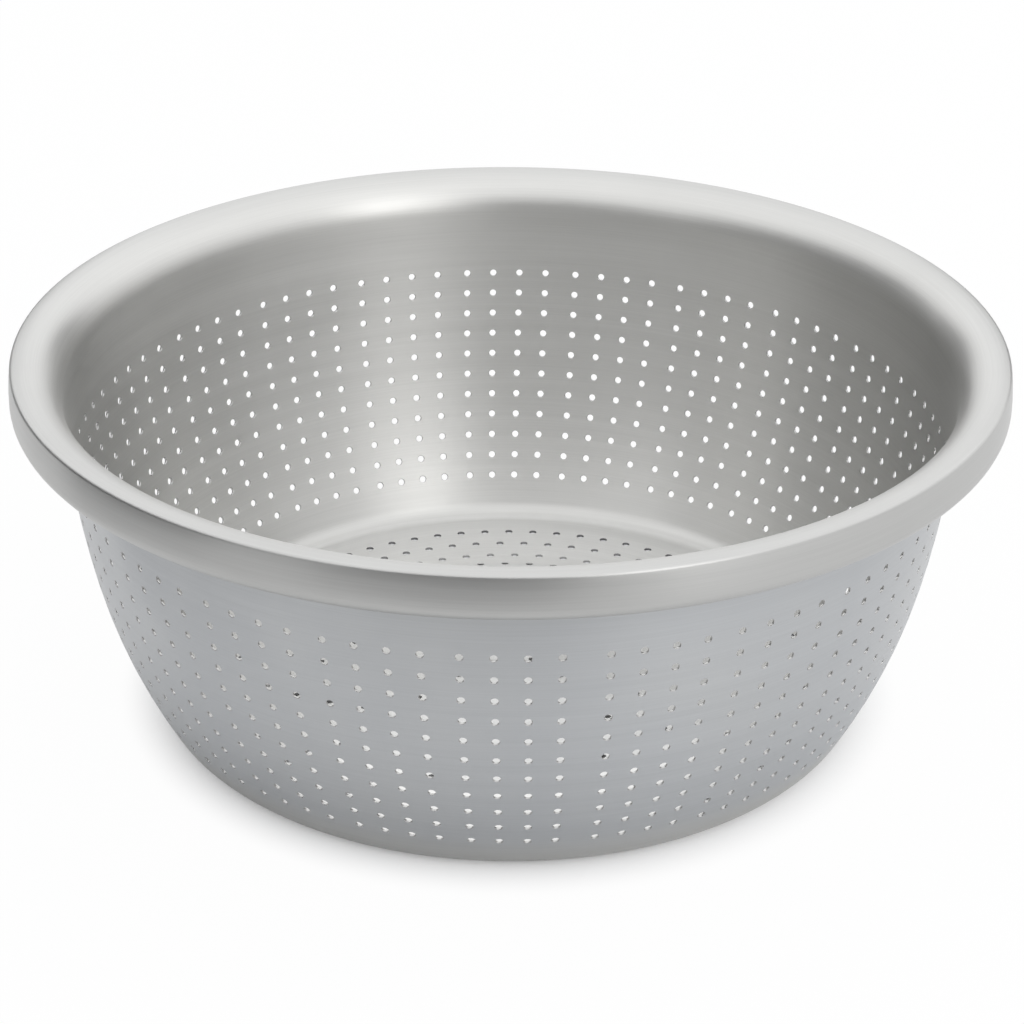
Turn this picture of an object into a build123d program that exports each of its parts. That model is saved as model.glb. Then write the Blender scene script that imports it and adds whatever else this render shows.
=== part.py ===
from build123d import *
from math import cos, pi, radians, sin, sqrt, tan
import os

# Perforated steel colander, spun from one sheet: a raised base, a wall of punched holes and a
# wide rim that flares out, folds down into a skirt and curls in again. In millimetres, +Z up,
# the front is -Y and the origin is on the axis, at the height of the surface that it stands on.

# Sheet and rim, from the curl inwards. The skirt swells from its fold to its widest, at the curl
rim_diameter = 260.0
sheet = 0.7
curl_radius = 3.9
curl_turn = 180.0
skirt_depth = 7.55
skirt_lean = 8.0
fold_radius = 0.9
lip_slope = 5.6
flare_radius = 11.0

# Wall, from the rim down. Each lean is the angle from upright
collar_rise = 6.3
collar_lean = 3.5
upper_wall_rise = 40.0
middle_lean = 12.4
lower_wall_rise = 40.1
foot_lean = 28.4
corner_radius = 6.8

# Base: the middle is stamped up, so that the bowl stands on a flat ring
stand_width = 22.8
step_width = 8.0
step_rise = 1.4

# Punched holes. Gangs of four columns follow each other round the wall
hole_diameter = 2.0
row_count = 11
row_pitch = 6.28
lowest_row_slant = 8.26
row_turn = -0.052
gang_count = 22
gang_columns = 4
column_turn = 3.93
gang_turn = 16.314
first_gang_turn = -72.09
ring_margin = 7.3
ring_pitch = 7.5
ring_hole_pitch = 7.28
# How far each ring is turned from the back to the right, as shares of its own hole pitch
ring_turn_shares = (-0.05, -0.42, 0.2, -0.2)
punch_overrun = 1.5

# The sheet is made of flat panes, one to a column of holes, and each hole has four sides.
# A hole step of 2 cuts every second row, column and ring, and a step of 1 cuts them all
pane_count = gang_count * gang_columns
hole_sides = 4
hole_step = 2
corner_flats = 2
lower_wall_flats = 3
upper_wall_flats = 2
flare_flats = 3
lip_flats = 1
fold_flats = 1
skirt_flats = 1
curl_flats = 3

# Sizes that follow from these, all on the inner face of the sheet
rim_radius = rim_diameter / 2
lower_wall_radius = lower_wall_rise / (sin(radians(foot_lean)) - sin(radians(middle_lean)))
upper_wall_radius = upper_wall_rise / (sin(radians(middle_lean)) - sin(radians(collar_lean)))
lower_wall_slant = lower_wall_radius * radians(foot_lean - middle_lean)
corner_reach = corner_radius * cos(radians(foot_lean))
lower_wall_reach = lower_wall_radius * (cos(radians(middle_lean)) - cos(radians(foot_lean)))
upper_wall_reach = upper_wall_radius * (cos(radians(collar_lean)) - cos(radians(middle_lean)))
collar_reach = collar_rise * tan(radians(collar_lean))
flare_reach = flare_radius * cos(radians(collar_lean))
lip_reach = (flare_radius - fold_radius) * sin(radians(lip_slope))
fold_reach = fold_radius * cos(radians(skirt_lean))
skirt_radius = skirt_depth / sin(radians(skirt_lean))
skirt_swell = skirt_radius * (1 - cos(radians(skirt_lean)))
mouth_radius = rim_radius - skirt_swell - fold_reach - lip_reach - flare_reach
foot_radius = mouth_radius - collar_reach - upper_wall_reach - lower_wall_reach
flat_radius = foot_radius - corner_reach
foot_height = sheet + corner_radius * (1 - sin(radians(foot_lean)))


def bend(outline, radius, turn, flats):
    """Carry an outline of (x, z, heading) on round an arc, cut into flats. Left turns are above 0."""
    x, z, heading = outline[-1]
    side = 1 if turn > 0 else -1
    centre_x = x - side * radius * sin(radians(heading))
    centre_z = z + side * radius * cos(radians(heading))
    for flat in range(1, flats + 1):
        new_heading = heading + turn * flat / flats
        new_x = centre_x + side * radius * sin(radians(new_heading))
        new_z = centre_z - side * radius * cos(radians(new_heading))
        outline.append((new_x, new_z, new_heading))


def straight(outline, length):
    """Carry an outline on in a line, along its heading."""
    x, z, heading = outline[-1]
    outline.append((x + length * cos(radians(heading)), z + length * sin(radians(heading)), heading))


def sheet_face(depth):
    """The points of the sheet's face that lies this deep under the inner face, from axis to curl."""
    floor = sheet - depth
    step_foot = flat_radius - stand_width
    outline = [(0, floor + step_rise, 0)]
    outline.append((step_foot - step_width, floor + step_rise, 0))
    outline.append((step_foot, floor, 0))
    outline.append((flat_radius, floor, 0))
    bend(outline, corner_radius + depth, 90 - foot_lean, corner_flats)
    bend(outline, lower_wall_radius + depth, foot_lean - middle_lean, lower_wall_flats)
    bend(outline, upper_wall_radius + depth, middle_lean - collar_lean, upper_wall_flats)
    straight(outline, collar_rise / cos(radians(collar_lean)))
    bend(outline, flare_radius - depth, collar_lean - 90, flare_flats)
    bend(outline, flare_radius - depth, -lip_slope, lip_flats)
    bend(outline, fold_radius - depth, lip_slope + skirt_lean - 90, fold_flats)
    bend(outline, skirt_radius - depth, -skirt_lean, skirt_flats)
    bend(outline, curl_radius - depth, -curl_turn, curl_flats)
    return [(x, z) for x, z, heading in outline]


def sheet_section():
    """The cut edge of the sheet, from the axis out to the end of the curl, in the XZ plane."""
    inner_face = sheet_face(0)
    outer_face = sheet_face(sheet)
    return Plane.XZ * make_face(Polyline(*outer_face, *reversed(inner_face), close=True))


def plain_bowl():
    """The unpunched bowl: one pane of the sheet between two mitres, repeated round the axis."""
    half_turn = 180 / pane_count
    half_width = rim_radius * tan(radians(half_turn))
    mitre = Polyline((0, 0), (rim_radius, -half_width), (rim_radius, half_width), close=True)
    slab = extrude(sheet_section(), half_width, both=True)
    pane = slab & extrude(make_face(mitre), slab.bounding_box().max.Z)
    middle_of_gangs = first_gang_turn + gang_turn * (gang_count - 1) / 2
    turns = [middle_of_gangs + half_turn * (2 * pane_index + 1) for pane_index in range(pane_count)]
    panes = [Rot(0, 0, turn) * pane for turn in turns]
    return panes[0].fuse(*panes[1:], glue=True)


def wall_point(slant):
    """Radius, height and lean of the wall's inner face, this far up its slope from the foot."""
    if slant < lower_wall_slant:
        radius, start_lean = lower_wall_radius, foot_lean
        start_x, start_z, along = foot_radius, foot_height, slant
    else:
        radius, start_lean = upper_wall_radius, middle_lean
        start_x = foot_radius + lower_wall_reach
        start_z, along = foot_height + lower_wall_rise, slant - lower_wall_slant
    lean = start_lean - along / radius * 180 / pi
    x = start_x + radius * (cos(radians(lean)) - cos(radians(start_lean)))
    z = start_z + radius * (sin(radians(start_lean)) - sin(radians(lean)))
    return x, z, lean


def punch(reach):
    """A punch along Z, as large in section as the round hole that it stands for."""
    corner = hole_diameter / 2 * sqrt(2 * pi / (hole_sides * sin(2 * pi / hole_sides)))
    return extrude(RegularPolygon(corner, hole_sides), reach, both=True)


def wall_punches():
    """Punches square to the wall, row by row, in every gang."""
    tool = punch(sheet + punch_overrun)
    punches = []
    for row in range(0, row_count, hole_step):
        x, z, lean = wall_point(lowest_row_slant + row * row_pitch)
        seated = Pos(x, 0, z) * Rot(0, 90 + lean, 0) * tool
        swirl = (row - (row_count - 1) / 2) * row_turn
        for gang in range(gang_count):
            gang_middle = first_gang_turn + gang * gang_turn + swirl
            for column in range(0, gang_columns, hole_step):
                in_gang = (column - (gang_columns - 1) / 2) * column_turn
                punches.append(Rot(0, 0, gang_middle + in_gang) * seated)
    return punches


def base_punches():
    """Upright punches in rings, from the edge of the flat base in to the axis."""
    tool = punch(sheet + step_rise + punch_overrun)
    first_ring = flat_radius - ring_margin
    punches = []
    for ring in range(0, int(first_ring / ring_pitch) + 1, hole_step):
        radius = first_ring - ring * ring_pitch
        holes = max(round(2 * pi * radius / ring_hole_pitch), 1)
        turn_share = ring_turn_shares[ring] if ring < len(ring_turn_shares) else 0
        for hole in range(0, holes, hole_step):
            from_back = (hole + turn_share) * 360 / holes
            punches.append(Rot(0, 0, 90 - from_back) * Pos(radius, 0) * tool)
    return punches


def colander():
    """The whole colander, punched through wall and base."""
    return plain_bowl().cut(*wall_punches(), *base_punches())


os.makedirs("parts", exist_ok=True)
body = colander()
export_step(body, "parts/colander.step")
print("height", body.bounding_box().max.Z, "flat base radius", flat_radius)
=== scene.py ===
from math import atan2, cos, hypot, pi, radians, sin

import bpy
from bpy.props import FloatProperty, FloatVectorProperty, IntProperty, PointerProperty
from mathutils import Matrix, Vector


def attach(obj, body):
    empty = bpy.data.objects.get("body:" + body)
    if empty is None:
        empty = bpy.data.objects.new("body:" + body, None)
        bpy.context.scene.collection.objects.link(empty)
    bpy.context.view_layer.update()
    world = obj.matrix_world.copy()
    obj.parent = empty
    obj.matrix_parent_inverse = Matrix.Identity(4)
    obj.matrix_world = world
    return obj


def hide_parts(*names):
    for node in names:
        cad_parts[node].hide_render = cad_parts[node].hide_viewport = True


bl_info = {
    "name": "Perforated Colander",
    "version": (1, 0, 0),
    "blender": (4, 5, 0),
    "location": "View3D > Sidebar > Colander",
    "description": "A steel colander pressed from one sheet, with a studio to look at it in",
    "category": "Add Mesh",
}

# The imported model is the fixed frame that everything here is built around. All in metres,
# +Z up, the front is -Y, and the origin is on the axis, on the surface that the bowl stands on.
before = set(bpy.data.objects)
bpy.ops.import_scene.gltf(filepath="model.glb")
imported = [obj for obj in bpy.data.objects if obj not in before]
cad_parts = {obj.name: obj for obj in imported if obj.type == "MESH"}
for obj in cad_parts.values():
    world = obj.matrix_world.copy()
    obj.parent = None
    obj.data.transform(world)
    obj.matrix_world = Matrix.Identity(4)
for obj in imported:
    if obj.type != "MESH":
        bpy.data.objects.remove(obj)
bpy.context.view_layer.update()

NODE = "colander"
BODY = "root"
MILLIMETRE = 0.001
MERGE_DISTANCE = 0.000001
ON_SHEET_DISTANCE = 5 * MERGE_DISTANCE
SHARP_ANGLE = radians(60.0)
FULL_TURN = 2 * pi

# Facets of each bend in the sheet's section, from the base out
STEP_FACETS = 3
CORNER_FACETS = 8
LOWER_WALL_FACETS = 6
UPPER_WALL_FACETS = 5
FLARE_FACETS = 13
FOLD_FACETS = 6
SKIRT_FACETS = 3
CURL_FACETS = 12

# Brushing marks: how fine they are round the axis and along the section, and their detail
BRUSHING_LINES = (2.6, 2600.0, 3.0)
POLISHING_BANDS = (0.9, 260.0, 2.0)
MARK_ROUGHNESS = 0.6
CLOUDS = {"scale": 22.0, "detail": 3.0, "roughness": 0.55}

# Range of the noise that counts, and the shades and changes of roughness that it makes
MARK_RANGE = (0.3, 0.7)
CLOUD_RANGE = (0.35, 0.65)
LINE_SHADES = (0.965, 1.025)
BAND_SHADES = (0.98, 1.02)
POLISH_SPREAD = (-0.02, 0.02)
BRUSHING_DEPTH = 0.1 * MILLIMETRE
QUARTER_TURN_SHARE = 0.25

# Where the steel's tones fade in, by radius or height, and for the inside by how far the sheet
# faces outwards; the inside, base, corner and base-hole tones are painted light and shade
STAND_RADII = (66.0 * MILLIMETRE, 82.0 * MILLIMETRE)
RIM_RADII = (116.5 * MILLIMETRE, 119.5 * MILLIMETRE)
BASE_HEIGHTS = (3.2 * MILLIMETRE, 1.6 * MILLIMETRE)
CORNER_FOOT_HEIGHTS = (0.8 * MILLIMETRE, 1.6 * MILLIMETRE)
CORNER_TOP_HEIGHTS = (14.0 * MILLIMETRE, 3.0 * MILLIMETRE)
INSIDE_FACINGS = (0.1, -0.95)

# Lamps: place, target, width, height, watts and colour
LAMPS = {
    "ceiling": ((0.0, 0.6, 1.3), (0.0, 0.6, 0.0), 7.0, 6.0, 60.0, (1.0, 1.0, 1.0)),
    "back ceiling": ((0.0, 3.3, 1.3), (0.0, 3.3, 0.0), 3.0, 5.0, 18.0, (1.0, 1.0, 1.0)),
    "key": ((0.75, -1.1, 0.75), (0.0, 0.0, 0.05), 0.6, 0.9, 2.6, (1.0, 0.99, 0.97)),
}

# Dark cards: place, width, height and turn about the upright
CARDS = {
    "front card": ((-0.55, -0.95, 0.33), 1.5, 0.66, 0.0),
    "left card": ((-1.1, 0.15, 0.4), 2.0, 0.8, -pi / 2),
    "back left card": ((-0.8, 1.3, 0.28), 0.8, 0.56, 0.0),
    "back right card": ((0.75, 1.3, 0.28), 0.7, 0.56, 0.0),
    "low front card": ((-0.04, -0.42, 0.035), 0.54, 0.07, 0.0),
    "low left card": ((-0.42, -0.12, 0.035), 0.3, 0.07, -pi / 2),
}
CARD_GREY = (0.12, 0.12, 0.12)
CARD_ROUGHNESS = 0.9
ROOM_GREY = (0.55, 0.56, 0.58)

# How the floor fades from shade to background, for the camera and in reflections: the two
# distances between which it fades, and the background's share at each
SEEN_FLOOR = (0.085, 0.108, 0.0, 0.97)
MIRRORED_FLOOR = (0.09, 0.165, 0.05, 1.0)

# Nearest and furthest that the camera sees
CAMERA_CLIP = (0.01, 50.0)


def millimetres(label, description, value):
    """A length that the sidebar shows, given in millimetres."""
    return FloatProperty(
        name=label,
        description=description,
        default=value * MILLIMETRE,
        min=0.0,
        precision=5,
        subtype="DISTANCE",
        unit="LENGTH",
    )


def degrees_of_arc(label, description, value):
    """An angle that the sidebar shows, given in degrees."""
    return FloatProperty(
        name=label,
        description=description,
        default=radians(value),
        subtype="ANGLE",
        unit="ROTATION",
    )


def camera_length(label, description, value):
    """A length inside the camera, in millimetres."""
    return FloatProperty(
        name=label,
        description=description,
        default=value,
        min=0.0,
        subtype="DISTANCE_CAMERA",
        unit="CAMERA",
    )


def colour(label, description, value):
    """A colour that the sidebar shows."""
    return FloatVectorProperty(
        name=label,
        description=description,
        default=value,
        size=3,
        min=0.0,
        max=1.0,
        subtype="COLOR",
    )


def share(label, description, value):
    """A number that multiplies or mixes, and has no unit."""
    return FloatProperty(name=label, description=description, default=value, min=0.0)


def count(label, description, value):
    """A whole number of pieces."""
    return IntProperty(name=label, description=description, default=value, min=1)


class SheetSizes(bpy.types.PropertyGroup):
    """Sizes of the pressed sheet, from the base out to the curl, on its inner face."""

    rim_diameter: millimetres("Rim diameter", "Across the rim, skirt to skirt", 260.0)
    sheet: millimetres("Sheet", "Thickness of the steel", 0.7)
    curl_radius: millimetres("Curl radius", "Rolled edge under the skirt", 3.9)
    curl_turn: degrees_of_arc("Curl turn", "How far the edge is rolled in", 180.0)
    skirt_depth: millimetres("Skirt depth", "From the fold down to the curl", 7.55)
    skirt_lean: degrees_of_arc("Skirt lean", "Lean of the skirt's top from upright", 8.0)
    fold_radius: millimetres("Fold radius", "Fold from the lip to the skirt", 0.9)
    lip_slope: degrees_of_arc("Lip slope", "Slope of the rim just inside the fold", 5.6)
    flare_radius: millimetres("Flare radius", "Turn from the collar to the lip", 11.0)
    collar_rise: millimetres("Collar rise", "Straight top of the wall", 6.3)
    collar_lean: degrees_of_arc("Collar lean", "Lean of the wall's top from upright", 3.5)
    upper_wall_rise: millimetres("Upper wall rise", "Height of the upper arc", 40.0)
    middle_lean: degrees_of_arc("Middle lean", "Lean of the wall half way up", 12.4)
    lower_wall_rise: millimetres("Lower wall rise", "Height of the lower arc", 40.1)
    foot_lean: degrees_of_arc("Foot lean", "Lean of the wall's foot from upright", 28.4)
    corner_radius: millimetres("Corner radius", "Round between wall and base", 6.8)
    stand_width: millimetres("Stand width", "Flat ring that the bowl stands on", 22.8)
    step_width: millimetres("Step width", "Slope up to the raised middle", 8.0)
    step_rise: millimetres("Step rise", "How far the middle is raised", 1.4)
    step_round: millimetres("Step round", "Radius at both ends of the slope", 14.0)
    turn_steps: count("Turn steps", "Facets round the whole bowl", 176)


class PunchSizes(bpy.types.PropertyGroup):
    """Sizes and places of the punched holes."""

    hole_diameter: millimetres("Hole diameter", "Across each hole", 2.0)
    hole_sides: count("Hole sides", "Facets round a hole", 10)
    lip: millimetres("Lip", "Softened edge of a hole, on both faces", 0.13)
    overrun: millimetres("Overrun", "How far a punch stands out of the sheet", 0.3)
    row_count: count("Rows", "Rows of holes up the wall", 11)
    row_pitch: millimetres("Row pitch", "Between rows, along the wall", 6.28)
    lowest_row: millimetres("Lowest row", "From the wall's foot, along it", 8.26)
    row_turn: degrees_of_arc("Row turn", "Turn of each row against the one below", -0.052)
    gang_count: count("Gangs", "Gangs of columns round the wall", 22)
    gang_columns: count("Gang columns", "Columns in one gang", 4)
    column_turn: degrees_of_arc("Column turn", "Between columns in a gang", 3.93)
    gang_turn: degrees_of_arc("Gang turn", "From one gang to the next", 16.314)
    first_gang: degrees_of_arc("First gang", "Where the first gang is", -72.09)
    ring_margin: millimetres("Ring margin", "From the flat base's edge in", 7.3)
    ring_pitch: millimetres("Ring pitch", "Between rings of the base", 7.5)
    ring_hole_pitch: millimetres("Ring hole pitch", "Between holes in a ring", 7.28)
    ring_turn_shares: FloatVectorProperty(
        name="Ring turn shares",
        description="Turn of the outer rings from the back to the right, in hole pitches",
        default=(-0.05, -0.42, 0.2, -0.2),
        size=4,
    )


class SteelFinish(bpy.types.PropertyGroup):
    """Colours and polish of the brushed steel, and the tones that paint light and shade on it."""

    tone: colour("Tone", "Colour of the satin steel", (0.498, 0.509, 0.519))
    cool_tone: colour("Cool tone", "Where the polish turns cooler", (0.488, 0.501, 0.517))
    # Painted light: the inside of the sheet is made lighter than the outside of the same steel,
    # standing in for the light that it gathers
    inner_painted_light: colour("Inner tone", "Colour of the wall inside the bowl", (0.590, 0.589, 0.578))
    # Painted sheen: the flat base is lighter still, standing in for the overhead light that it
    # reflects
    base_painted_sheen: colour("Base tone", "Colour of the flat base", (0.720, 0.720, 0.712))
    # Painted light and shade: the round between wall and base gets a brightness of its own, darker
    # than the inside wall and base beside it
    corner_painted_shade: colour("Corner tone", "Colour between wall and base", (0.54, 0.54, 0.53))
    rim_tone: colour("Rim tone", "Colour of the flared rim and its skirt", (0.502, 0.503, 0.497))
    cut_tone: colour("Cut tone", "Colour of the sheared edges", (0.50, 0.50, 0.497))
    # Painted shade: the sheared edges of the holes in the base's outer part are dark, standing in
    # for the shaded floor seen through them
    base_hole_painted_shade: colour("Low cut tone", "Colour of the base's sheared edges", (0.22, 0.22, 0.225))
    roughness: share("Roughness", "Roughness of the satin face", 0.4)
    cut_roughness: share("Cut roughness", "Roughness of the sheared edges", 0.28)
    anisotropy: share("Anisotropy", "Stretch of highlights across the brushing", 0.7)
    grain: share("Grain", "Depth of the brushing", 0.12)


class StudioSizes(bpy.types.PropertyGroup):
    """The floor, the background and the camera."""

    floor_width: millimetres("Floor width", "Side of the square floor", 6000.0)
    view_down: degrees_of_arc("View down", "How far the camera looks down", 27.344)
    view_roll: degrees_of_arc("View roll", "How far the camera leans", -0.337)
    view_place: FloatVectorProperty(
        name="View place",
        description="Where the camera stands",
        default=(0.00054, -0.66144, 0.39208),
        size=3,
        precision=5,
        subtype="TRANSLATION",
        unit="LENGTH",
    )
    lens: camera_length("Lens", "Focal length of the camera", 97.11)
    sensor: camera_length("Sensor", "Width of the camera's sensor", 36.0)
    backdrop: colour("Backdrop", "Colour of floor and background", (1.0, 1.0, 1.0))


# Work in edit mode, with faces and edges selected by their place

def deselect_all():
    """Leave edit mode and drop every selection, because operators act on all that's selected."""
    if bpy.context.mode != "OBJECT":
        bpy.ops.object.mode_set(mode="OBJECT")
    bpy.ops.object.select_all(action="DESELECT")


def make_active(piece):
    """Select one object, and only that."""
    deselect_all()
    piece.select_set(True)
    bpy.context.view_layer.objects.active = piece


def select_edges(piece, wanted):
    """Go to edit mode with just the edges selected that lie at places that the test wants."""
    make_active(piece)
    bpy.ops.object.mode_set(mode="EDIT")
    bpy.ops.mesh.select_mode(type="EDGE")
    bpy.ops.mesh.select_all(action="DESELECT")
    bpy.ops.object.mode_set(mode="OBJECT")
    for edge in piece.data.edges:
        edge.select = all(wanted(piece.data.vertices[corner].co) for corner in edge.vertices)
    bpy.ops.object.mode_set(mode="EDIT")


def apply_place(piece):
    """Move an object's place, turn and scale into its mesh."""
    make_active(piece)
    bpy.ops.object.transform_apply(location=True, rotation=True, scale=True)


def apply_modifier(piece, modifier):
    """Finish a piece with a modifier."""
    make_active(piece)
    bpy.ops.object.modifier_apply(modifier=modifier.name)


def copy_of(piece, place):
    """A copy with its own mesh, put at a place."""
    copy = piece.copy()
    copy.data = piece.data.copy()
    copy.matrix_world = place
    bpy.context.collection.objects.link(copy)
    return copy


def join(pieces):
    """Make one object of several, with its place in its mesh."""
    deselect_all()
    for piece in pieces:
        piece.select_set(True)
    bpy.context.view_layer.objects.active = pieces[0]
    bpy.ops.object.join()
    joined = bpy.context.object
    apply_place(joined)
    return joined


def remove(piece):
    """Take a helper out of the scene, with its mesh."""
    mesh = piece.data
    bpy.data.objects.remove(piece)
    bpy.data.meshes.remove(mesh)


# The sheet's outline

class SheetEdge:
    """The leading edge of the sheet while its section is drawn: a point on the inner face,
    and the heading there. Left turns close over the bowl, right turns fold outwards."""

    def __init__(self, sizes):
        self.sheet = sizes.sheet
        self.x = 0.0
        self.z = sizes.sheet + sizes.step_rise
        self.heading = 0.0

    def straight(self, length):
        step = (length * cos(self.heading), 0.0, length * sin(self.heading))
        bpy.ops.mesh.extrude_region_move(TRANSFORM_OT_translate={"value": step})
        self.x += step[0]
        self.z += step[2]

    def bend(self, radius, turn, steps):
        side = 1.0 if turn > 0 else -1.0
        centre_x = self.x - side * radius * sin(self.heading)
        centre_z = self.z + side * radius * cos(self.heading)
        bpy.ops.mesh.spin(steps=steps, angle=turn, center=(centre_x, 0.0, centre_z),
                          axis=(0.0, 1.0, 0.0))
        self.heading += turn
        self.x = centre_x + side * radius * sin(self.heading)
        self.z = centre_z - side * radius * cos(self.heading)


class Wall:
    """Radii and places on the wall's inner face that follow from the sizes."""

    def __init__(self, sizes):
        self.sizes = sizes
        lower_part = sin(sizes.foot_lean) - sin(sizes.middle_lean)
        upper_part = sin(sizes.middle_lean) - sin(sizes.collar_lean)
        self.lower_radius = sizes.lower_wall_rise / lower_part
        self.upper_radius = sizes.upper_wall_rise / upper_part
        self.lower_slant = self.lower_radius * (sizes.foot_lean - sizes.middle_lean)
        self.lower_reach = self.lower_radius * (cos(sizes.middle_lean) - cos(sizes.foot_lean))
        upper_reach = self.upper_radius * (cos(sizes.collar_lean) - cos(sizes.middle_lean))
        collar_reach = sizes.collar_rise * sin(sizes.collar_lean) / cos(sizes.collar_lean)
        flare_reach = sizes.flare_radius * cos(sizes.collar_lean)
        lip_reach = (sizes.flare_radius - sizes.fold_radius) * sin(sizes.lip_slope)
        fold_reach = sizes.fold_radius * cos(sizes.skirt_lean)
        self.skirt_radius = sizes.skirt_depth / sin(sizes.skirt_lean)
        skirt_swell = self.skirt_radius * (1 - cos(sizes.skirt_lean))
        rim_reach = skirt_swell + fold_reach + lip_reach + flare_reach
        mouth_radius = sizes.rim_diameter / 2 - rim_reach
        self.foot_radius = mouth_radius - collar_reach - upper_reach - self.lower_reach
        self.foot_height = sizes.sheet + sizes.corner_radius * (1 - sin(sizes.foot_lean))
        self.flat_radius = self.foot_radius - sizes.corner_radius * cos(sizes.foot_lean)
        self.step_foot = self.flat_radius - sizes.stand_width
        self.step_slope = atan2(sizes.step_rise, sizes.step_width)

    def point(self, slant):
        """Radius, height and lean of the inner face, this far up its slope from the foot."""
        if slant < self.lower_slant:
            radius, start_lean, along = self.lower_radius, self.sizes.foot_lean, slant
            start_x, start_z = self.foot_radius, self.foot_height
        else:
            radius, start_lean = self.upper_radius, self.sizes.middle_lean
            along = slant - self.lower_slant
            start_x = self.foot_radius + self.lower_reach
            start_z = self.foot_height + self.sizes.lower_wall_rise
        lean = start_lean - along / radius
        x = start_x + radius * (cos(lean) - cos(start_lean))
        z = start_z + radius * (sin(start_lean) - sin(lean))
        return x, z, lean

    def floor_point(self, radius):
        """Height and slope of the base's inner face at a radius."""
        climb = (self.step_foot - radius) / self.sizes.step_width
        height = self.sizes.sheet + self.sizes.step_rise * min(max(climb, 0.0), 1.0)
        slope = self.step_slope if 0.0 < climb < 1.0 else 0.0
        return height, slope


def draw_section(sizes, wall):
    """The sheet cut through: a strip in the XZ plane, drawn from the axis to the curl's end."""
    rounding = sizes.step_round * sin(wall.step_slope / 2) / cos(wall.step_slope / 2)
    first = wall.step_foot - sizes.step_width - rounding
    deselect_all()
    bpy.ops.mesh.primitive_plane_add(
        size=1.0,
        location=(first / 2, 0.0, sizes.step_rise + sizes.sheet / 2),
        rotation=(pi / 2, 0.0, 0.0),
    )
    section = bpy.context.object
    section.name = "perforated_bowl"
    section.scale = (first, sizes.sheet, 1.0)
    apply_place(section)
    select_edges(section, lambda place: place.x > first / 2)
    edge = SheetEdge(sizes)
    edge.x = first
    slope_length = hypot(sizes.step_width, sizes.step_rise)
    edge.bend(sizes.step_round, -wall.step_slope, STEP_FACETS)
    edge.straight(slope_length - 2 * rounding)
    edge.bend(sizes.step_round, wall.step_slope, STEP_FACETS)
    edge.straight(wall.flat_radius - wall.step_foot - rounding)
    edge.bend(sizes.corner_radius, pi / 2 - sizes.foot_lean, CORNER_FACETS)
    edge.bend(wall.lower_radius, sizes.foot_lean - sizes.middle_lean, LOWER_WALL_FACETS)
    edge.bend(wall.upper_radius, sizes.middle_lean - sizes.collar_lean, UPPER_WALL_FACETS)
    edge.straight(sizes.collar_rise / cos(sizes.collar_lean))
    edge.bend(sizes.flare_radius, sizes.collar_lean - pi / 2 - sizes.lip_slope, FLARE_FACETS)
    edge.bend(sizes.fold_radius, sizes.lip_slope + sizes.skirt_lean - pi / 2, FOLD_FACETS)
    edge.bend(wall.skirt_radius, -sizes.skirt_lean, SKIRT_FACETS)
    edge.bend(sizes.curl_radius, -sizes.curl_turn, CURL_FACETS)
    return section


def spin_bowl(sizes, wall):
    """Turn the section round the axis into a closed, plain bowl."""
    bowl = draw_section(sizes, wall)
    bpy.ops.mesh.select_all(action="SELECT")
    bpy.ops.mesh.dissolve_faces()
    bpy.ops.mesh.select_all(action="SELECT")
    bpy.ops.mesh.delete(type="ONLY_FACE")
    select_edges(bowl, lambda place: place.x < MERGE_DISTANCE)
    bpy.ops.mesh.delete(type="EDGE")
    bpy.ops.mesh.select_all(action="SELECT")
    bpy.ops.mesh.spin(steps=sizes.turn_steps, angle=FULL_TURN, center=(0.0, 0.0, 0.0),
                      axis=(0.0, 0.0, 1.0))
    bpy.ops.mesh.select_all(action="SELECT")
    bpy.ops.mesh.remove_doubles(threshold=MERGE_DISTANCE)
    bpy.ops.mesh.normals_make_consistent(inside=False)
    bpy.ops.object.mode_set(mode="OBJECT")
    return bowl


# Punched holes

def turned(angle, axis):
    return Matrix.Rotation(angle, 4, axis)


def shape_punch(sizes, holes):
    """One punch along Z, centred in the sheet. It widens towards both faces, which softens
    the hole's lips."""
    hole_radius = holes.hole_diameter / 2
    half_sheet = sizes.sheet / 2
    mouth_radius = hole_radius + holes.lip + holes.overrun
    deselect_all()
    bpy.ops.mesh.primitive_circle_add(
        vertices=holes.hole_sides,
        radius=mouth_radius,
        fill_type="NGON",
        location=(0.0, 0.0, -half_sheet - holes.overrun),
    )
    punch = bpy.context.object
    apply_place(punch)
    bpy.ops.object.mode_set(mode="EDIT")
    bpy.ops.mesh.select_all(action="SELECT")
    throat = hole_radius / mouth_radius
    for rise, scale in (
        (holes.overrun + holes.lip, throat),
        (sizes.sheet - 2 * holes.lip, 1.0),
        (holes.overrun + holes.lip, 1.0 / throat),
    ):
        bpy.ops.mesh.extrude_region_move(TRANSFORM_OT_translate={"value": (0.0, 0.0, rise)})
        bpy.ops.transform.resize(value=(scale, scale, 1.0))
    bpy.ops.mesh.select_all(action="SELECT")
    bpy.ops.mesh.normals_make_consistent(inside=False)
    bpy.ops.object.mode_set(mode="OBJECT")
    return punch


def wall_places(sizes, holes, wall):
    """Where the wall's punches go: square to the sheet, row by row, in gangs of columns."""
    places = []
    for row in range(holes.row_count):
        x, z, lean = wall.point(holes.lowest_row + row * holes.row_pitch)
        seat = Matrix.Translation((x, 0.0, z)) @ turned(pi / 2 + lean, "Y")
        seat = seat @ Matrix.Translation((0.0, 0.0, sizes.sheet / 2))
        swirl = (row - (holes.row_count - 1) / 2) * holes.row_turn
        for gang in range(holes.gang_count):
            gang_middle = holes.first_gang + gang * holes.gang_turn + swirl
            for column in range(holes.gang_columns):
                in_gang = (column - (holes.gang_columns - 1) / 2) * holes.column_turn
                places.append(turned(gang_middle + in_gang, "Z") @ seat)
    return places


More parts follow.
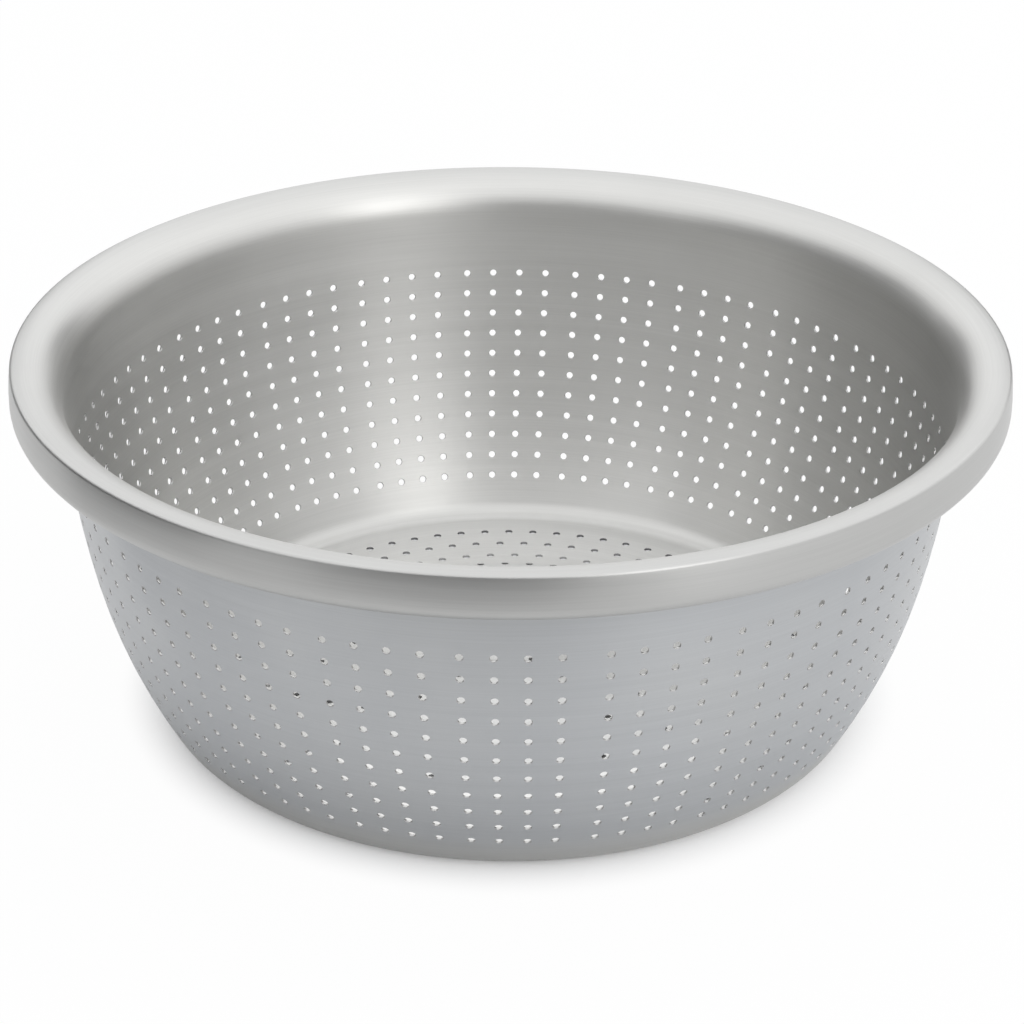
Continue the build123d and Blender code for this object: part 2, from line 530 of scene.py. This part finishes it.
def base_places(sizes, holes, wall):
    """Where the base's punches go: rings about the axis, from the edge in."""
    places = []
    first_ring = wall.flat_radius - holes.ring_margin
    for ring in range(int(first_ring / holes.ring_pitch) + 1):
        radius = first_ring - ring * holes.ring_pitch
        height, slope = wall.floor_point(radius)
        in_ring = max(round(FULL_TURN * radius / holes.ring_hole_pitch), 1)
        seat = Matrix.Translation((radius, 0.0, height)) @ turned(slope, "Y")
        seat = seat @ Matrix.Translation((0.0, 0.0, -sizes.sheet / 2))
        turn_share = holes.ring_turn_shares[ring] if ring < len(holes.ring_turn_shares) else 0.0
        for hole in range(in_ring):
            from_back = (hole + turn_share) * FULL_TURN / in_ring
            places.append(turned(pi / 2 - from_back, "Z") @ seat)
    return places


def punch_holes(bowl, sizes, holes, wall):
    """Cut every hole through the plain bowl."""
    punch = shape_punch(sizes, holes)
    places = wall_places(sizes, holes, wall) + base_places(sizes, holes, wall)
    copies = [copy_of(punch, place) for place in places]
    remove(punch)
    punches = join(copies)
    cut = bowl.modifiers.new("Punched holes", "BOOLEAN")
    cut.operation = "DIFFERENCE"
    cut.object = punches
    cut.solver = "MANIFOLD"
    apply_modifier(bowl, cut)
    remove(punches)


def smooth_like(bowl, plain, faces_group):
    """Shade the punched sheet with the normals of the plain one, so that the cuts in its
    facets don't show. The holes and the cut edge keep their own normals."""
    for piece in (plain, bowl):
        make_active(piece)
        bpy.ops.object.shade_smooth_by_angle(angle=SHARP_ANGLE)
    group = bowl.vertex_groups.new(name=faces_group)
    edge_points = set()
    for edge in bowl.data.edges:
        if edge.use_edge_sharp:
            edge_points.update(edge.vertices)
    on_sheet = []
    for vertex in bowl.data.vertices:
        nearest = plain.closest_point_on_mesh(vertex.co)[1]
        off_sheet = (nearest - vertex.co).length
        if vertex.index not in edge_points and off_sheet < ON_SHEET_DISTANCE:
            on_sheet.append(vertex.index)
    group.add(on_sheet, 1.0, "REPLACE")
    transfer = bowl.modifiers.new("Sheet normals", "DATA_TRANSFER")
    transfer.object = plain
    transfer.use_loop_data = True
    transfer.data_types_loops = {"CUSTOM_NORMAL"}
    transfer.loop_mapping = "POLYINTERP_NEAREST"
    transfer.vertex_group = group.name
    apply_modifier(bowl, transfer)
    return set(on_sheet), edge_points


# Materials

class NodeBench:
    """Puts nodes into a tree and links them."""

    def __init__(self, tree):
        self.tree = tree

    def add(self, kind, inputs=None, **settings):
        node = self.tree.nodes.new(kind)
        for name, value in settings.items():
            setattr(node, name, value)
        for name, value in (inputs or {}).items():
            if isinstance(value, bpy.types.NodeSocket):
                self.tree.links.new(value, node.inputs[name])
            else:
                node.inputs[name].default_value = value
        return node

    def maths(self, operation, first, second=0.0, clamp=False):
        node = self.add("ShaderNodeMath", {0: first, 1: second}, operation=operation)
        node.use_clamp = clamp
        return node.outputs[0]

    def mapped(self, value, low, high, to_low=0.0, to_high=1.0, smooth=False):
        node = self.add(
            "ShaderNodeMapRange",
            {0: value, 1: low, 2: high, 3: to_low, 4: to_high},
            interpolation_type="SMOOTHSTEP" if smooth else "LINEAR",
        )
        return node.outputs[0]

    def mixed(self, factor, first, second):
        node = self.add("ShaderNodeMix", {0: factor, 6: first, 7: second}, data_type="RGBA")
        return node.outputs[2]

    def noise(self, vector, scale, detail, roughness):
        node = self.add(
            "ShaderNodeTexNoise",
            {"Vector": vector, "Scale": scale, "Detail": detail, "Roughness": roughness},
        )
        return node.outputs["Fac"]


def opaque(tone):
    return (*tone, 1.0)


def brushing_group():
    """Marks that run round the axis, on wall, rim and base alike: fine brushing lines, the
    broader bands that the polishing wheel leaves, and soft clouds. The other outputs tell the
    places of the sheet: Inside faces the axis, Base is the flat base, Stand its outer part,
    Corner its round edge, and Rim all that lies outside the wall's top."""
    group = bpy.data.node_groups.new("Round brushing", "ShaderNodeTree")
    group.interface.new_socket("Vector", in_out="INPUT", socket_type="NodeSocketVector")
    group.interface.new_socket("Facing", in_out="INPUT", socket_type="NodeSocketVector")
    bench = NodeBench(group)
    enter = bench.add("NodeGroupInput")
    x, y, z = bench.add("ShaderNodeSeparateXYZ", {0: enter.outputs["Vector"]}).outputs
    radius = bench.maths("SQRT", bench.maths("ADD", bench.maths("MULTIPLY", x, x),
                                             bench.maths("MULTIPLY", y, y)))
    guarded = bench.maths("MAXIMUM", radius, MILLIMETRE)
    # a point on a circle in noise space has no seam, and height plus radius runs up the section
    along_x = bench.maths("DIVIDE", x, guarded)
    along_y = bench.maths("DIVIDE", y, guarded)
    up_section = bench.maths("ADD", z, radius)
    outputs = {}
    for name, (round_scale, section_scale, detail) in (
        ("Lines", BRUSHING_LINES),
        ("Bands", POLISHING_BANDS),
    ):
        vector = bench.add(
            "ShaderNodeCombineXYZ",
            {
                0: bench.maths("MULTIPLY", along_x, round_scale),
                1: bench.maths("MULTIPLY", along_y, round_scale),
                2: bench.maths("MULTIPLY", up_section, section_scale),
            },
        )
        outputs[name] = bench.noise(vector.outputs[0], 1.0, detail, MARK_ROUGHNESS)
    outputs["Clouds"] = bench.noise(enter.outputs["Vector"], **CLOUDS)
    outward = bench.add("ShaderNodeCombineXYZ", {0: along_x, 1: along_y}).outputs[0]
    facing_out = bench.add(
        "ShaderNodeVectorMath",
        {0: outward, 1: enter.outputs["Facing"]},
        operation="DOT_PRODUCT",
    )
    outputs["Inside"] = bench.mapped(facing_out.outputs["Value"], *INSIDE_FACINGS, smooth=True)
    outputs["Base"] = bench.mapped(z, *BASE_HEIGHTS, smooth=True)
    outer_part = bench.mapped(radius, *STAND_RADII)
    outputs["Stand"] = bench.maths("MULTIPLY", outer_part, outputs["Base"])
    corner = bench.maths("MULTIPLY", bench.mapped(z, *CORNER_FOOT_HEIGHTS, smooth=True),
                         bench.mapped(z, *CORNER_TOP_HEIGHTS, smooth=True))
    outputs["Corner"] = bench.maths("MULTIPLY", corner, outer_part)
    outputs["Rim"] = bench.mapped(radius, *RIM_RADII, smooth=True)
    for name in outputs:
        group.interface.new_socket(name, in_out="OUTPUT", socket_type="NodeSocketFloat")
    leave = bench.add("NodeGroupOutput")
    for name, output in outputs.items():
        group.links.new(output, leave.inputs[name])
    return group


def steel_material(name, group, tone, cool_tone, place_tones, roughness, anisotropy, grain):
    """Steel that is brushed round the axis. Some places of the sheet are given other tones, laid
    over each other in the order given; give_steel uses them to paint light and shade."""
    material = bpy.data.materials.new(name)
    material.use_nodes = True
    bench = NodeBench(material.node_tree)
    material.node_tree.nodes.clear()
    coordinates = bench.add("ShaderNodeTexCoord").outputs
    brushing = bench.add("ShaderNodeGroup", node_tree=group)
    bench.tree.links.new(coordinates["Object"], brushing.inputs["Vector"])
    bench.tree.links.new(coordinates["Normal"], brushing.inputs["Facing"])
    marks = brushing.outputs
    coolness = bench.mapped(marks["Clouds"], *CLOUD_RANGE)
    body = bench.mixed(coolness, opaque(tone), opaque(cool_tone))
    for place, place_tone in place_tones.items():
        body = bench.mixed(marks[place], body, opaque(place_tone))
    shade = bench.maths("MULTIPLY", bench.mapped(marks["Lines"], *MARK_RANGE, *LINE_SHADES),
                        bench.mapped(marks["Bands"], *MARK_RANGE, *BAND_SHADES))
    shaded = bench.add("ShaderNodeVectorMath", {0: body, "Scale": shade}, operation="SCALE")
    polish = bench.maths("ADD", bench.mapped(marks["Bands"], *MARK_RANGE, *POLISH_SPREAD),
                         bench.mapped(marks["Clouds"], *CLOUD_RANGE, *POLISH_SPREAD))
    rough = bench.maths("ADD", polish, roughness, clamp=True)
    relief = bench.add(
        "ShaderNodeBump",
        {"Strength": grain, "Distance": BRUSHING_DEPTH, "Height": marks["Lines"]},
    )
    tangent = bench.add("ShaderNodeTangent", direction_type="RADIAL", axis="Z")
    shader = bench.add(
        "ShaderNodeBsdfPrincipled",
        {
            "Base Color": shaded.outputs[0],
            "Metallic": 1.0,
            "Roughness": rough,
            "Anisotropic": anisotropy,
            "Anisotropic Rotation": QUARTER_TURN_SHARE,
            "Normal": relief.outputs[0],
            "Tangent": tangent.outputs[0],
        },
    )
    output = bench.add("ShaderNodeOutputMaterial")
    bench.tree.links.new(shader.outputs[0], output.inputs[0])
    return material


def give_steel(bowl, finish, on_sheet, edge_points):
    """Satin steel on the sheet's faces, and sheared steel in the holes and on the cut edge."""
    group = brushing_group()
    bowl.data.materials.clear()
    # The inside, base and corner tones paint light and shade on the one steel
    satin_tones = {
        "Rim": finish.rim_tone,
        "Inside": finish.inner_painted_light,
        "Base": finish.base_painted_sheen,
        "Corner": finish.corner_painted_shade,
    }
    bowl.data.materials.append(steel_material(
        "Satin steel", group, finish.tone, finish.cool_tone, satin_tones,
        finish.roughness, finish.anisotropy, finish.grain))
    # Painted shade: the holes in the base's outer part are dark, standing in for the shade under
    # the bowl
    sheared_tones = {"Stand": finish.base_hole_painted_shade, "Corner": finish.cut_tone}
    bowl.data.materials.append(steel_material(
        "Sheared steel", group, finish.cut_tone, finish.cut_tone, sheared_tones,
        finish.cut_roughness, 0.0, finish.grain))
    for face in bowl.data.polygons:
        corners = set(face.vertices)
        sheared = bool(corners - on_sheet - edge_points) or corners <= edge_points
        face.material_index = 1 if sheared else 0


# Studio

def aimed(location, target):
    """The turn that points a lamp or camera from its place to a target, as angles."""
    return (Vector(target) - Vector(location)).to_track_quat("-Z", "Y").to_euler()


def add_softbox(name, location, target, width, height, watts, tint):
    """A large, even lamp."""
    deselect_all()
    bpy.ops.object.light_add(type="AREA", location=location, rotation=aimed(location, target))
    lamp = bpy.context.object
    lamp.name = name
    lamp.data.shape = "RECTANGLE"
    lamp.data.size = width
    lamp.data.size_y = height
    lamp.data.energy = watts
    lamp.data.color = tint
    lamp.visible_camera = False


def add_card(name, location, width, height, turn):
    """A dark grey card that stands near the bowl, and gives the steel its dark lines."""
    deselect_all()
    bpy.ops.mesh.primitive_plane_add(size=1.0, location=location, rotation=(pi / 2, 0.0, turn))
    card = bpy.context.object
    card.name = name
    card.scale = (width, height, 1.0)
    apply_place(card)
    material = bpy.data.materials.new("Dark card")
    material.use_nodes = True
    shader = material.node_tree.nodes["Principled BSDF"]
    shader.inputs["Base Color"].default_value = opaque(CARD_GREY)
    shader.inputs["Roughness"].default_value = CARD_ROUGHNESS
    card.data.materials.append(material)
    card.visible_camera = False


def add_camera(studio):
    """The camera, where the photograph was taken from."""
    down, roll = studio.view_down, studio.view_roll
    forward = Vector((0.0, cos(down), -sin(down)))
    level_right = Vector((1.0, 0.0, 0.0))
    level_up = Vector((0.0, sin(down), cos(down)))
    right = cos(roll) * level_right - sin(roll) * level_up
    up = sin(roll) * level_right + cos(roll) * level_up
    turn = Matrix((right, up, -forward)).transposed().to_euler()
    deselect_all()
    bpy.ops.object.camera_add(location=studio.view_place, rotation=turn)
    camera = bpy.context.object
    camera.data.lens = studio.lens
    camera.data.sensor_width = studio.sensor
    camera.data.clip_start, camera.data.clip_end = CAMERA_CLIP
    bpy.context.scene.camera = camera


def floor_material(studio):
    """A pale floor that the camera and the steel see as the plain background, apart from
    the shade under and round the bowl."""
    material = bpy.data.materials.new("Pale floor")
    material.use_nodes = True
    bench = NodeBench(material.node_tree)
    material.node_tree.nodes.clear()
    place = bench.add("ShaderNodeTexCoord").outputs["Object"]
    distance = bench.add("ShaderNodeVectorMath", {0: place}, operation="LENGTH").outputs["Value"]
    path = bench.add("ShaderNodeLightPath").outputs
    mirrored = bench.maths("MAXIMUM", path["Is Glossy Ray"], path["Is Transmission Ray"])
    seen_share = bench.maths("MULTIPLY", path["Is Camera Ray"],
                             bench.mapped(distance, *SEEN_FLOOR, smooth=True))
    mirrored_share = bench.maths("MULTIPLY", mirrored,
                                 bench.mapped(distance, *MIRRORED_FLOOR, smooth=True))
    shown = bench.maths("ADD", seen_share, mirrored_share)
    matt = bench.add("ShaderNodeBsdfDiffuse", {"Color": opaque(studio.backdrop)})
    glow = bench.add("ShaderNodeEmission", {"Color": opaque(studio.backdrop), "Strength": 1.0})
    mix = bench.add("ShaderNodeMixShader", {0: shown, 1: matt.outputs[0], 2: glow.outputs[0]})
    output = bench.add("ShaderNodeOutputMaterial")
    bench.tree.links.new(mix.outputs[0], output.inputs[0])
    return material


def studio_world(studio):
    """White to the camera and in the steel, and soft grey light from the room for the rest."""
    world = bpy.data.worlds.new("Studio")
    bpy.context.scene.world = world
    world.use_nodes = True
    bench = NodeBench(world.node_tree)
    world.node_tree.nodes.clear()
    path = bench.add("ShaderNodeLightPath").outputs
    seen = bench.maths("MAXIMUM", path["Is Camera Ray"], path["Is Glossy Ray"])
    seen = bench.maths("MAXIMUM", seen, path["Is Transmission Ray"])
    shown = bench.mixed(seen, opaque(ROOM_GREY), opaque(studio.backdrop))
    background = bench.add("ShaderNodeBackground", {"Color": shown, "Strength": 1.0})
    output = bench.add("ShaderNodeOutputWorld")
    bench.tree.links.new(background.outputs[0], output.inputs[0])


# Operators

class COLANDER_OT_bowl(bpy.types.Operator):
    """Spin the steel sheet into a bowl with a folded rim, and punch its holes"""

    bl_idname = "mesh.colander_bowl"
    bl_label = "Perforated Bowl"

    def execute(self, context):
        sizes = context.scene.colander_sheet
        holes = context.scene.colander_punch
        wall = Wall(sizes)
        bowl = spin_bowl(sizes, wall)
        plain = copy_of(bowl, Matrix.Identity(4))
        punch_holes(bowl, sizes, holes, wall)
        on_sheet, edge_points = smooth_like(bowl, plain, "sheet faces")
        remove(plain)
        give_steel(bowl, context.scene.colander_finish, on_sheet, edge_points)
        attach(bowl, BODY)
        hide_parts(NODE)
        return {"FINISHED"}


class COLANDER_OT_studio(bpy.types.Operator):
    """Add a pale floor, soft lamps, dark cards and the camera"""

    bl_idname = "scene.colander_studio"
    bl_label = "Pale Studio"

    def execute(self, context):
        studio = context.scene.colander_studio
        deselect_all()
        bpy.ops.mesh.primitive_plane_add(size=studio.floor_width)
        floor = bpy.context.object
        floor.name = "floor"
        floor.data.materials.append(floor_material(studio))
        for name, lamp in LAMPS.items():
            add_softbox(name, *lamp)
        for name, card in CARDS.items():
            add_card(name, *card)
        add_camera(studio)
        studio_world(studio)
        context.scene.view_settings.view_transform = "Standard"
        return {"FINISHED"}


class COLANDER_PT_sidebar(bpy.types.Panel):
    """Buttons for the bowl and its studio, with their sizes"""

    bl_label = "Colander"
    bl_space_type = "VIEW_3D"
    bl_region_type = "UI"
    bl_category = "Colander"

    def draw(self, context):
        for operator, group_names in BUTTONS:
            self.layout.operator(operator.bl_idname)
            for group_name in group_names:
                group = getattr(context.scene, group_name)
                for name in group.__annotations__:
                    self.layout.prop(group, name)


# Each button, with the sizes that it builds from
BUTTONS = (
    (COLANDER_OT_bowl, ("colander_sheet", "colander_punch", "colander_finish")),
    (COLANDER_OT_studio, ("colander_studio",)),
)
GROUPS = {
    "colander_sheet": SheetSizes,
    "colander_punch": PunchSizes,
    "colander_finish": SteelFinish,
    "colander_studio": StudioSizes,
}
CLASSES = (*GROUPS.values(), COLANDER_OT_bowl, COLANDER_OT_studio, COLANDER_PT_sidebar)


def register():
    for item in CLASSES:
        bpy.utils.register_class(item)
    for name, group in GROUPS.items():
        setattr(bpy.types.Scene, name, PointerProperty(type=group))


def unregister():
    for name in GROUPS:
        delattr(bpy.types.Scene, name)
    for item in reversed(CLASSES):
        bpy.utils.unregister_class(item)


def main():
    """Build the bowl and its studio."""
    register()
    bpy.ops.mesh.colander_bowl()
    bpy.ops.scene.colander_studio()


if __name__ == "__main__":
    main()
